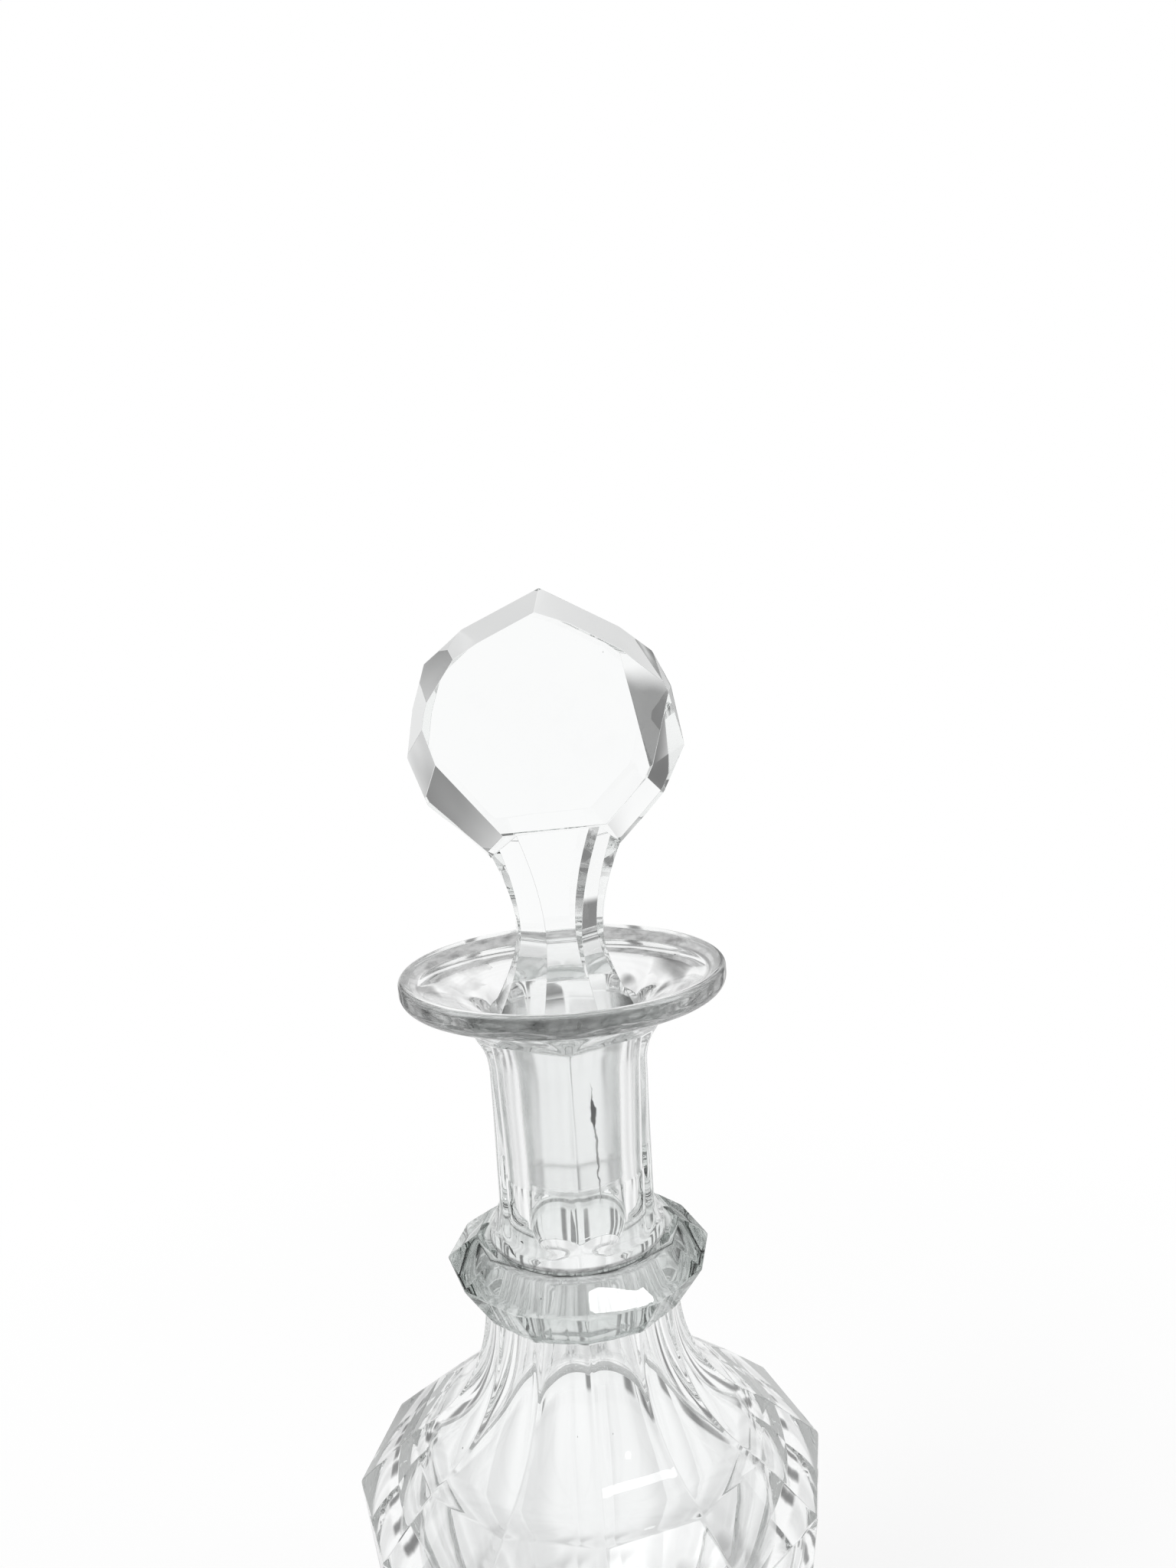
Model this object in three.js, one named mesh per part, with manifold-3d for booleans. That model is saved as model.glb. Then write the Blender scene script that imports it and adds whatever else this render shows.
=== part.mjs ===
// A cut-glass decanter with its stopper, in millimetres, +Z up.
// The bottle is one piece of thick blown glass: a tapering body cut with flat panels, a sloping
// shoulder, a neck with broad flutes and a wide flared lip. A faceted ring is applied round the foot
// of the neck, and a solid stopper with a bevelled disc for a finial stands in the ground mouth.
// The origin is the centre of the foot. The front of the disc faces -Y.

import * as THREE from 'three';
import { mergeVertices } from 'three/addons/utils/BufferGeometryUtils.js';
import Module from 'manifold-3d';

const wasm = await Module();
wasm.setup();

// Finish of the facets
const ROUND_SIDES = 48;
const CURVE_STEPS = 6;
const CUTTER_MARGIN = 6;

// Fits
const FIT_CLEARANCE = 0.3;

// Body: cut panels from the foot to the shoulder, with distances to the flats
const PANEL_COUNT = 12;
const PANEL_TURN_DEG = 3.9;
const FOOT_APOTHEM = 39.0;
const FOOT_BEVEL = 1.6;
const BODY_APOTHEM = 50.0;
const BODY_HEIGHT = 98.7;
const BODY_WALL = 4.6;
const FLOOR_THICKNESS = 11.0;
const FLOOR_CORNER = 12.0;
const PONTIL_RADIUS = 15.0;
const PONTIL_DEPTH = 1.6;

// Shoulder: a sloping band, then a hollow sweep up to the neck
const BAND_RISE = 9.9;
const BAND_TOP_APOTHEM = 38.4;
const SWEEP_RISE = 31.0;
const SWEEP_TOP_APOTHEM = 20.6;
const SWEEP_HOLLOW = 9.0;

// Neck ring: two cones of facets that meet in a sharp edge
const RING_CORNER_RADIUS = 29.0;
const RING_LOWER_RISE = 9.2;
const RING_UPPER_RISE = 4.8;
const RING_WALL = 2.0;

// Neck: a turned stem with broad flutes, waisted between the ring and the lip
const NECK_SEAT_RADIUS = 19.3;
const NECK_WAIST_RADIUS = 18.6;
const NECK_HEIGHT = 42.0;
const BORE_RADIUS = 12.2;
const FLUTE_COUNT = 6;
const FLUTE_TURN_DEG = 32.6;
const FLUTE_DEPTH = 2.2;
const FLUTE_FOOT = 2.4;
const FLUTE_RUNOUT = 5.0;
const FLUTE_HEAD = 2.0;

// Lip: a wide trumpet with an upright edge, rounded below and above
const LIP_RISE = 14.5;
const LIP_RADIUS = 34.7;
const LIP_EDGE_RADIUS = 2.7;
const LIP_BROW_RADIUS = 1.2;
const LIP_LAND = 0.4;

// Mouth: the hollow that sweeps from the socket out to the lip, by the pull of its curve at each end
const MOUTH_FOOT_RUN = 3.7;
const MOUTH_FOOT_RISE = 3.1;
const MOUTH_HEAD_RUN = 8.6;
const MOUTH_HEAD_DROP = 2.5;

// Ground plug of the stopper, and the socket that it stands in
const PLUG_LENGTH = 32.0;
const PLUG_END_RADIUS = 11.6;
const PLUG_TOP_RADIUS = 13.0;
const PLUG_CHAMFER = 0.8;
const SOCKET_DEPTH = 13.0;

// Stopper above the mouth: a round collar, then a waisted stem with pairs of cut sides
const STOPPER_TURN_DEG = 7.5;
const COLLAR_RISE = 4.5;
const COLLAR_RADIUS = 15.8;
const COLLAR_EDGE = 0.8;
const STEM_FOOT_APOTHEM = 14.4;
const WAIST_RISE = 16.0;
const WAIST_APOTHEM = 8.9;
const WAIST_RUN = 9.8;
const STEM_RISE = 23.0;
const STEM_FACE_APOTHEM = 8.9;
const STEM_CORNER_APOTHEM = 12.4;
const STEM_SIDE_APOTHEM = 16.2;

// Finial: the corners of each side of the disc, as [distance from the axis, height over the stem]
const DISC_RIGHT = [
  [13.3, -5.6],
  [19.8, 0.8],
  [23.8, 5.2],
  [28.5, 14.5],
  [26.2, 27.2],
  [22.6, 34.6],
  [16.0, 39.9],
];
const DISC_LEFT = [
  [13.5, -6.0],
  [19.4, 0.2],
  [25.5, 5.8],
  [29.0, 15.9],
  [27.2, 25.7],
  [24.2, 34.6],
  [16.1, 41.2],
];
const DISC_HEIGHT = 48.6;
const DISC_THICKNESS = 18.6;
const DISC_BEVEL_WIDTH = 4.0;
const DISC_BEVEL_DEPTH = 7.4;

// Heights that follow from the sizes above
const SHOULDER_TOP = BODY_HEIGHT + BAND_RISE + SWEEP_RISE;
const RING_BOTTOM = SHOULDER_TOP + FIT_CLEARANCE;
const RING_EDGE = RING_BOTTOM + RING_LOWER_RISE;
const RING_TOP = RING_EDGE + RING_UPPER_RISE;
const NECK_TOP = RING_TOP + NECK_HEIGHT;
const LIP_CENTRE = NECK_TOP + LIP_RISE;
const LIP_TOP = LIP_CENTRE + LIP_EDGE_RADIUS;
const SOCKET_TOP = LIP_TOP - SOCKET_DEPTH;
const PLUG_END = SOCKET_TOP - PLUG_LENGTH;
const COLLAR_TOP = SOCKET_TOP + COLLAR_RISE;
const WAIST_LEVEL = COLLAR_TOP + WAIST_RISE;
const DISC_BOTTOM = WAIST_LEVEL + STEM_RISE;

const GLASS = { color: 0xe9eef0, roughness: 0.04, metalness: 0.0, transparent: true, opacity: 0.35 };

/** Distance to the corner of a regular outline whose flats lie at the given distance. */
function cornerRadius(apothem, sides) {
  return apothem / Math.cos(Math.PI / sides);
}

/** A closed solid from a geometry whose shared corners are merged first. */
function solidFrom(geometry) {
  geometry.deleteAttribute('normal');
  geometry.deleteAttribute('uv');
  const merged = mergeVertices(geometry);
  const corners = Array.from(merged.index.array);
  const triangles = [];
  for (let i = 0; i < corners.length; i += 3) {
    const [a, b, c] = corners.slice(i, i + 3);
    if (a !== b && b !== c && c !== a) {
      triangles.push(a, b, c);
    }
  }
  const mesh = new wasm.Mesh({
    numProp: 3,
    vertProperties: new Float32Array(merged.attributes.position.array),
    triVerts: new Uint32Array(triangles),
  });
  return new wasm.Manifold(mesh);
}

/** A solid turned about +Z from a profile of radius and height that starts and ends on the axis. */
function turned(profile, sides, turnDegrees = 0) {
  const points = profile.getPoints(CURVE_STEPS);
  const geometry = new THREE.LatheGeometry(points, sides, THREE.MathUtils.degToRad(turnDegrees));
  geometry.rotateX(Math.PI / 2);
  return solidFrom(geometry);
}

/** A named mesh of glass from a finished solid. */
function glassMesh(name, solid) {
  const { vertProperties, triVerts } = solid.getMesh();
  const geometry = new THREE.BufferGeometry();
  geometry.setAttribute('position', new THREE.BufferAttribute(vertProperties, 3));
  geometry.setIndex(new THREE.BufferAttribute(triVerts, 1));
  geometry.computeVertexNormals();
  const mesh = new THREE.Mesh(geometry, new THREE.MeshStandardMaterial(GLASS));
  mesh.name = name;
  return mesh;
}

/** Body and shoulder as one solid with flat panels all the way round. */
function panelledBody() {
  const corner = (apothem) => cornerRadius(apothem, PANEL_COUNT);
  const bandTop = BODY_HEIGHT + BAND_RISE;
  const profile = new THREE.Path();
  profile.moveTo(0, 0);
  profile.lineTo(corner(FOOT_APOTHEM - FOOT_BEVEL), 0);
  profile.lineTo(corner(FOOT_APOTHEM), FOOT_BEVEL);
  profile.lineTo(corner(BODY_APOTHEM), BODY_HEIGHT);
  profile.lineTo(corner(BAND_TOP_APOTHEM), bandTop);
  profile.quadraticCurveTo(
    corner(SWEEP_TOP_APOTHEM), bandTop + SWEEP_HOLLOW,
    corner(SWEEP_TOP_APOTHEM), SHOULDER_TOP,
  );
  profile.lineTo(0, SHOULDER_TOP);
  return turned(profile, PANEL_COUNT, PANEL_TURN_DEG);
}

/** Turned stem of the neck with the trumpet of the lip on it. */
function neckBlank() {
  const waistLevel = (RING_TOP + NECK_TOP) / 2;
  const edge = LIP_RADIUS - LIP_EDGE_RADIUS;
  const brow = LIP_RADIUS - LIP_BROW_RADIUS;
  const profile = new THREE.Path();
  profile.moveTo(0, BODY_HEIGHT);
  profile.lineTo(NECK_SEAT_RADIUS, BODY_HEIGHT);
  profile.lineTo(NECK_SEAT_RADIUS, RING_TOP);
  profile.quadraticCurveTo(NECK_WAIST_RADIUS, RING_TOP, NECK_WAIST_RADIUS, waistLevel);
  profile.bezierCurveTo(
    NECK_WAIST_RADIUS, NECK_TOP,
    NECK_SEAT_RADIUS, LIP_CENTRE - LIP_EDGE_RADIUS,
    edge, LIP_CENTRE - LIP_EDGE_RADIUS,
  );
  profile.absarc(edge, LIP_CENTRE, LIP_EDGE_RADIUS, -Math.PI / 2, 0, false);
  profile.absarc(brow, LIP_TOP - LIP_BROW_RADIUS, LIP_BROW_RADIUS, 0, Math.PI / 2, false);
  profile.lineTo(0, LIP_TOP);
  return turned(profile, ROUND_SIDES);
}

/** Solid that leaves only what lies within the neck's broad flutes. */
function fluteLimits() {
  const flat = cornerRadius(NECK_WAIST_RADIUS - FLUTE_DEPTH, FLUTE_COUNT);
  const seat = cornerRadius(NECK_SEAT_RADIUS + CUTTER_MARGIN, FLUTE_COUNT);
  const outside = cornerRadius(LIP_RADIUS + CUTTER_MARGIN, FLUTE_COUNT);
  const foot = RING_TOP + FLUTE_FOOT;
  const profile = new THREE.Path();
  profile.moveTo(0, BODY_HEIGHT - CUTTER_MARGIN);
  profile.lineTo(seat, BODY_HEIGHT - CUTTER_MARGIN);
  profile.lineTo(seat, foot);
  profile.quadraticCurveTo(flat, foot, flat, foot + FLUTE_RUNOUT);
  profile.lineTo(flat, NECK_TOP - FLUTE_HEAD);
  profile.quadraticCurveTo(
    flat, LIP_CENTRE - LIP_EDGE_RADIUS,
    outside, LIP_CENTRE - LIP_EDGE_RADIUS,
  );
  profile.lineTo(outside, LIP_TOP + CUTTER_MARGIN);
  profile.lineTo(0, LIP_TOP + CUTTER_MARGIN);
  return turned(profile, FLUTE_COUNT, FLUTE_TURN_DEG);
}

/** Everything that is empty inside the bottle, from the floor to above the mouth. */
function cavity() {
  const bandTop = BODY_HEIGHT + BAND_RISE;
  const slant = Math.atan2(BODY_APOTHEM - BAND_TOP_APOTHEM, BAND_RISE);
  const wallDrop = BODY_WALL * Math.tan(slant / 2);
  const bottom = FOOT_APOTHEM - BODY_WALL;
  const widest = BODY_APOTHEM - BODY_WALL;
  const bandInside = BAND_TOP_APOTHEM - BODY_WALL;
  const mouthFoot = PLUG_TOP_RADIUS + FIT_CLEARANCE;
  const mouthHead = LIP_RADIUS - LIP_BROW_RADIUS - LIP_LAND;
  const profile = new THREE.Path();
  profile.moveTo(0, FLOOR_THICKNESS);
  profile.lineTo(bottom - FLOOR_CORNER, FLOOR_THICKNESS);
  profile.quadraticCurveTo(bottom, FLOOR_THICKNESS, bottom, FLOOR_THICKNESS + FLOOR_CORNER);
  profile.lineTo(widest, BODY_HEIGHT - wallDrop - FLOOR_CORNER);
  profile.quadraticCurveTo(widest, BODY_HEIGHT - wallDrop, bandInside, bandTop - wallDrop);
  profile.bezierCurveTo(
    BORE_RADIUS, bandTop + SWEEP_HOLLOW - wallDrop,
    BORE_RADIUS, SHOULDER_TOP,
    BORE_RADIUS, RING_TOP,
  );
  profile.lineTo(BORE_RADIUS, PLUG_END);
  profile.lineTo(PLUG_END_RADIUS + FIT_CLEARANCE, PLUG_END);
  profile.lineTo(mouthFoot, SOCKET_TOP);
  profile.bezierCurveTo(
    mouthFoot + MOUTH_FOOT_RUN, SOCKET_TOP + MOUTH_FOOT_RISE,
    mouthHead - MOUTH_HEAD_RUN, LIP_TOP - MOUTH_HEAD_DROP,
    mouthHead, LIP_TOP,
  );
  profile.lineTo(mouthHead, LIP_TOP + CUTTER_MARGIN);
  profile.lineTo(0, LIP_TOP + CUTTER_MARGIN);
  return turned(profile, ROUND_SIDES);
}

/** Shallow polished hollow under the foot. */
function pontil() {
  const profile = new THREE.Path();
  profile.moveTo(0, -CUTTER_MARGIN);
  profile.lineTo(PONTIL_RADIUS, -CUTTER_MARGIN);
  profile.lineTo(PONTIL_RADIUS, 0);
  profile.quadraticCurveTo(PONTIL_RADIUS / 2, PONTIL_DEPTH, 0, PONTIL_DEPTH);
  return turned(profile, ROUND_SIDES);
}

/** Blown and cut bottle. */
function bottle() {
  const neck = neckBlank().intersect(fluteLimits());
  return panelledBody().add(neck).subtract(cavity()).subtract(pontil());
}

/** Applied ring with its facets, bored to pass over the neck. */
function neckRing() {
  const corner = (radius) => cornerRadius(radius, PANEL_COUNT);
  const boreRadius = NECK_SEAT_RADIUS + FIT_CLEARANCE;
  const rimRadius = corner(boreRadius + RING_WALL);
  const facets = new THREE.Path();
  facets.moveTo(0, RING_BOTTOM);
  facets.lineTo(rimRadius, RING_BOTTOM);
  facets.lineTo(RING_CORNER_RADIUS, RING_EDGE);
  facets.lineTo(rimRadius, RING_TOP);
  facets.lineTo(0, RING_TOP);
  const bore = new THREE.Path();
  bore.moveTo(0, RING_BOTTOM - CUTTER_MARGIN);
  bore.lineTo(boreRadius, RING_BOTTOM - CUTTER_MARGIN);
  bore.lineTo(boreRadius, RING_TOP + CUTTER_MARGIN);
  bore.lineTo(0, RING_TOP + CUTTER_MARGIN);
  return turned(facets, PANEL_COUNT, PANEL_TURN_DEG).subtract(turned(bore, ROUND_SIDES));
}

/** A solid drawn as an outline of width and height, extruded to both sides of the axis, then turned. */
function extruded(outline, depth, turnDegrees, bevel) {
  const geometry = new THREE.ExtrudeGeometry(outline, { depth, curveSegments: CURVE_STEPS, ...bevel });
  geometry.translate(0, 0, -depth / 2);
  geometry.rotateX(Math.PI / 2);
  geometry.rotateZ(THREE.MathUtils.degToRad(turnDegrees));
  return solidFrom(geometry);
}

/** Flat disc of the finial with a bevel all round both faces. */
function finialDisc() {
  const outline = new THREE.Shape();
  outline.moveTo(0, DISC_BOTTOM + DISC_HEIGHT);
  for (const [across, rise] of DISC_LEFT.toReversed()) {
    outline.lineTo(-across, DISC_BOTTOM + rise);
  }
  for (const [across, rise] of DISC_RIGHT) {
    outline.lineTo(across, DISC_BOTTOM + rise);
  }
  return extruded(outline, DISC_THICKNESS - 2 * DISC_BEVEL_DEPTH, 0, {
    bevelEnabled: true,
    bevelSegments: 1,
    bevelSize: DISC_BEVEL_WIDTH,
    bevelOffset: -DISC_BEVEL_WIDTH,
    bevelThickness: DISC_BEVEL_DEPTH,
  });
}

/** What one opposite pair of the stem's cut sides leaves, opening to the given distance at the disc. */
function stemSides(topApothem, turnDegrees) {
  const foot = COLLAR_TOP - COLLAR_EDGE / 2;
  const top = DISC_BOTTOM + DISC_BEVEL_WIDTH;
  const outline = new THREE.Shape();
  outline.moveTo(STEM_FOOT_APOTHEM, foot);
  outline.quadraticCurveTo(WAIST_APOTHEM, COLLAR_TOP + WAIST_RUN, WAIST_APOTHEM, WAIST_LEVEL);
  outline.quadraticCurveTo(WAIST_APOTHEM, WAIST_LEVEL + WAIST_RUN, topApothem, DISC_BOTTOM);
  outline.lineTo(topApothem, top);
  outline.lineTo(-topApothem, top);
  outline.lineTo(-topApothem, DISC_BOTTOM);
  outline.quadraticCurveTo(-WAIST_APOTHEM, WAIST_LEVEL + WAIST_RUN, -WAIST_APOTHEM, WAIST_LEVEL);
  outline.quadraticCurveTo(-WAIST_APOTHEM, COLLAR_TOP + WAIST_RUN, -STEM_FOOT_APOTHEM, foot);
  return extruded(outline, 2 * LIP_RADIUS, turnDegrees, { bevelEnabled: false });
}

/** Waisted stem with cut sides, from the collar up into the disc. */
function stem() {
  const sides = stemSides(STEM_SIDE_APOTHEM, 0);
  const faces = stemSides(STEM_FACE_APOTHEM, 90);
  const rightCorners = stemSides(STEM_CORNER_APOTHEM, 45);
  const leftCorners = stemSides(STEM_CORNER_APOTHEM, -45);
  return sides.intersect(faces).intersect(rightCorners).intersect(leftCorners);
}

/** Ground plug that fills the socket of the neck, with the round collar over it. */
function plug() {
  const profile = new THREE.Path();
  profile.moveTo(0, PLUG_END);
  profile.lineTo(PLUG_END_RADIUS - PLUG_CHAMFER, PLUG_END);
  profile.lineTo(PLUG_END_RADIUS, PLUG_END + PLUG_CHAMFER);
  profile.lineTo(PLUG_TOP_RADIUS, SOCKET_TOP);
  profile.lineTo(COLLAR_RADIUS, COLLAR_TOP - COLLAR_EDGE);
  profile.lineTo(COLLAR_RADIUS, COLLAR_TOP);
  profile.lineTo(0, COLLAR_TOP);
  return turned(profile, ROUND_SIDES);
}

/** Solid stopper. */
function stopper() {
  return plug().add(stem()).add(finialDisc());
}

const decanter = new THREE.Group();
decanter.name = 'decanter';
decanter.add(glassMesh('bottle', bottle()));
decanter.add(glassMesh('neck_ring', neckRing()));

const stopperMesh = glassMesh('stopper', stopper());
stopperMesh.rotation.z = THREE.MathUtils.degToRad(STOPPER_TURN_DEG);
decanter.add(stopperMesh);

export default decanter;
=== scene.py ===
"""Cut-glass decanter with a lift-out stopper: visual model, finishes and studio."""

import logging
import math
from dataclasses import dataclass, field
from enum import Enum, IntEnum
from typing import Any, Iterable, Sequence, Union

import bmesh
import bpy
from mathutils import Matrix, Vector


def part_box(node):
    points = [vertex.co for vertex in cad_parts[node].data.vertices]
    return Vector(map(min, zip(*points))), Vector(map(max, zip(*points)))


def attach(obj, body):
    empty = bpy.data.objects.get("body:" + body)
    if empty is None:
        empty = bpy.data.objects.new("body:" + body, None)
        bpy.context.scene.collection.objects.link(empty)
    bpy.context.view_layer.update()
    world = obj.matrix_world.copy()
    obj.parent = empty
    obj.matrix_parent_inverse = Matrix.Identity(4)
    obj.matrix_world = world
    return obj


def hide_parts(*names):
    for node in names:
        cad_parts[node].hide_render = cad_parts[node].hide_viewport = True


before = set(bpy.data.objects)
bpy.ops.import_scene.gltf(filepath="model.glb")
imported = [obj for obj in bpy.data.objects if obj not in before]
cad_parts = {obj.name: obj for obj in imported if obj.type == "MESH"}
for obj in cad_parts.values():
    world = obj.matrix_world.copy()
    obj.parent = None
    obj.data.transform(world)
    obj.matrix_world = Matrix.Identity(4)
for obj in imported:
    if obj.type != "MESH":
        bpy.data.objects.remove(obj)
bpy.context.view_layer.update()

MM = 0.001  # One millimetre, in metres.
WELD = 1e-4  # Distance at which two points are one, in millimetres.
UNION_WELD = 0.02  # The same after solids are united.
SLIVER = 0.01  # Edges shorter than this are dropped, in millimetres.
FACING = 0.9  # Least part of a normal along an axis for its face to look that way.
log = logging.getLogger("decanter")

Pair = tuple[float, float]
Triple = tuple[float, float, float]
Socket = bpy.types.NodeSocket
Mesh = bmesh.types.BMesh


class Zone(IntEnum):
    """How the cutter's wheel treats a row of the turned blank."""

    ROUND = 0
    PANEL = 1
    FLUTE = 2


class Body(Enum):
    """Rigid bodies that the pieces ride on."""

    BOTTLE = "bottle"
    STOPPER = "stopper"


@dataclass
class Section:
    """Half section of a turned form, in millimetres.

    Attributes:
        points: Radius, height and zone of each point, in order along the section.
    """

    points: list[tuple[float, float, Zone]] = field(default_factory=list)

    def to(self, radius: float, height: float, zone: Zone = Zone.ROUND) -> "Section":
        """Adds one point, whose row gets the zone's cut, and returns the section for the next step."""
        self.points.append((radius, height, zone))
        return self

    def straight(self, radius: float, height: float, steps: int, zone: Zone = Zone.ROUND) -> "Section":
        """Adds a straight run of equal steps to a radius and height, and returns the section."""
        return self.curve([(radius, height)], steps, zone)

    def curve(self, controls: Sequence[Pair], steps: int, zone: Zone = Zone.ROUND) -> "Section":
        """Adds a Bezier curve from the last point.

        Args:
            controls: Control points after the last point, the end point among them.
            steps: Number of rows on the curve.
            zone: Cut that the rows get.

        Returns:
            The section itself, for the next step.
        """
        hull = [Vector(self.points[-1][:2])] + [Vector(control) for control in controls]
        for step in range(1, steps + 1):
            layer = hull
            while len(layer) > 1:
                layer = [a.lerp(b, step / steps) for a, b in zip(layer, layer[1:])]
            self.to(*layer[0], zone)
        return self

    def arc(self, centre: Pair, radius: float, start: float, stop: float, steps: int) -> "Section":
        """Adds a circular arc.

        Args:
            centre: Radius and height of the arc's centre.
            radius: Radius of the arc.
            start: First angle in degrees, outwards being 0 and up being 90.
            stop: Last angle in degrees.
            steps: Number of rows on the arc.

        Returns:
            The section itself, for the next step.
        """
        for step in range(1, steps + 1):
            angle = math.radians(start + (stop - start) * step / steps)
            self.to(centre[0] + radius * math.cos(angle), centre[1] + radius * math.sin(angle))
        return self

    def spun(self, columns: int, closed: bool = False) -> Mesh:
        """Turns the section into a full round blank.

        Args:
            columns: Number of columns round the axis.
            closed: Whether the last point joins the first.

        Returns:
            A closed mesh whose vertices carry their zone in the layer "zone".
        """
        blank = bmesh.new()
        layer = blank.verts.layers.int.new("zone")
        rows = []
        for radius, height, zone in self.points:
            vert = blank.verts.new((radius, 0.0, height))
            vert[layer] = int(zone)
            rows.append(vert)
        pairs = list(zip(rows, rows[1:] + rows[:1])) if closed else list(zip(rows, rows[1:]))
        edges = [blank.edges.new(pair) for pair in pairs]
        bmesh.ops.spin(
            blank,
            geom=rows + edges,
            cent=(0.0, 0.0, 0.0),
            axis=(0.0, 0.0, 1.0),
            angle=math.tau,
            steps=columns,
            use_merge=True,
        )
        bmesh.ops.remove_doubles(blank, verts=blank.verts[:], dist=WELD)
        bmesh.ops.recalc_face_normals(blank, faces=blank.faces[:])
        return blank


def off_middle(angle: float, ridge: float, sides: int) -> float:
    """Angle from the middle of the nearest side, where one ridge's angle is known. All are in radians."""
    pitch = math.tau / sides
    return (angle - ridge) % pitch - pitch / 2


def cut_panels(blank: Mesh, sides: int) -> None:
    """Moves the panel rows of a blank from their corner radius onto flat sides.

    Args:
        blank: Turned blank with a ridge at angle 0.
        sides: Number of flat sides.
    """
    layer = blank.verts.layers.int["zone"]
    for vert in blank.verts:
        if vert[layer] == Zone.PANEL:
            offset = off_middle(math.atan2(vert.co.y, vert.co.x), 0.0, sides)
            scale = math.cos(math.pi / sides) / math.cos(offset)
            vert.co.x *= scale
            vert.co.y *= scale


def panel_edges(blank: Mesh, sides: int, creases: Iterable[float]) -> list[bmesh.types.BMEdge]:
    """Collects the ridges between flat sides and the creases across them.

    Args:
        blank: Cut blank with a ridge at angle 0.
        sides: Number of flat sides.
        creases: Heights of the creases.

    Returns:
        The edges to be softened.
    """
    layer = blank.verts.layers.int["zone"]
    levels = list(creases)
    found = []
    for edge in blank.edges:
        if any(vert[layer] != Zone.PANEL for vert in edge.verts):
            continue
        first, second = (vert.co for vert in edge.verts)
        level = abs(first.z - second.z) < WELD
        radial = abs(first.xy.length - second.xy.length) > WELD and first.xy.angle(second.xy) < WELD
        if level and any(abs(first.z - height) < WELD for height in levels):
            found.append(edge)
        elif radial or not level:
            offsets = [abs(off_middle(math.atan2(v.co.y, v.co.x), 0.0, sides)) for v in edge.verts]
            if min(offsets) > math.pi / sides - WELD:
                found.append(edge)
    return found


def soften(mesh: Mesh, edges: list[bmesh.types.BMEdge], width: float, segments: int) -> None:
    """Rounds edges as polishing does.

    Args:
        mesh: Mesh that holds the edges.
        edges: Edges to be rounded.
        width: Distance that the rounding takes from each edge.
        segments: Number of faces across the rounding.
    """
    bmesh.ops.bevel(
        mesh,
        geom=edges,
        offset=width,
        offset_type="OFFSET",
        affect="EDGES",
        segments=segments,
        profile=0.5,
        material=-1,
        clamp_overlap=True,
    )


def linked(name: str, data: bpy.types.ID) -> bpy.types.Object:
    """Makes an object and puts it in the scene.

    Args:
        name: Name of the object.
        data: Its mesh, light or camera.

    Returns:
        The object.
    """
    item = bpy.data.objects.new(name, data)
    bpy.context.scene.collection.objects.link(item)
    return item


def placed(mesh: Mesh, name: str, turn: float) -> bpy.types.Object:
    """Turns a mesh about the axis, brings it to metres and makes its object.

    Args:
        mesh: Mesh in millimetres, used up by the call.
        name: Name of the piece.
        turn: Turn about the axis, in degrees.

    Returns:
        The piece, at the origin with its place in its mesh.
    """
    spin = Matrix.Rotation(math.radians(turn), 3, "Z")
    bmesh.ops.rotate(mesh, verts=mesh.verts[:], cent=(0.0, 0.0, 0.0), matrix=spin)
    bmesh.ops.scale(mesh, vec=(MM, MM, MM), verts=mesh.verts[:])
    for face in mesh.faces:
        face.smooth = True
    data = bpy.data.meshes.new(name)
    mesh.to_mesh(data)
    mesh.free()
    return linked(name, data)


def shade_facets(piece: bpy.types.Object) -> None:
    """Lets the large faces set the shading, so that cut sides stay flat beside rounded edges."""
    shading = piece.modifiers.new("facet_shading", "WEIGHTED_NORMAL")
    shading.mode = "FACE_AREA"
    shading.weight = 50
    shading.keep_sharp = False


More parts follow.
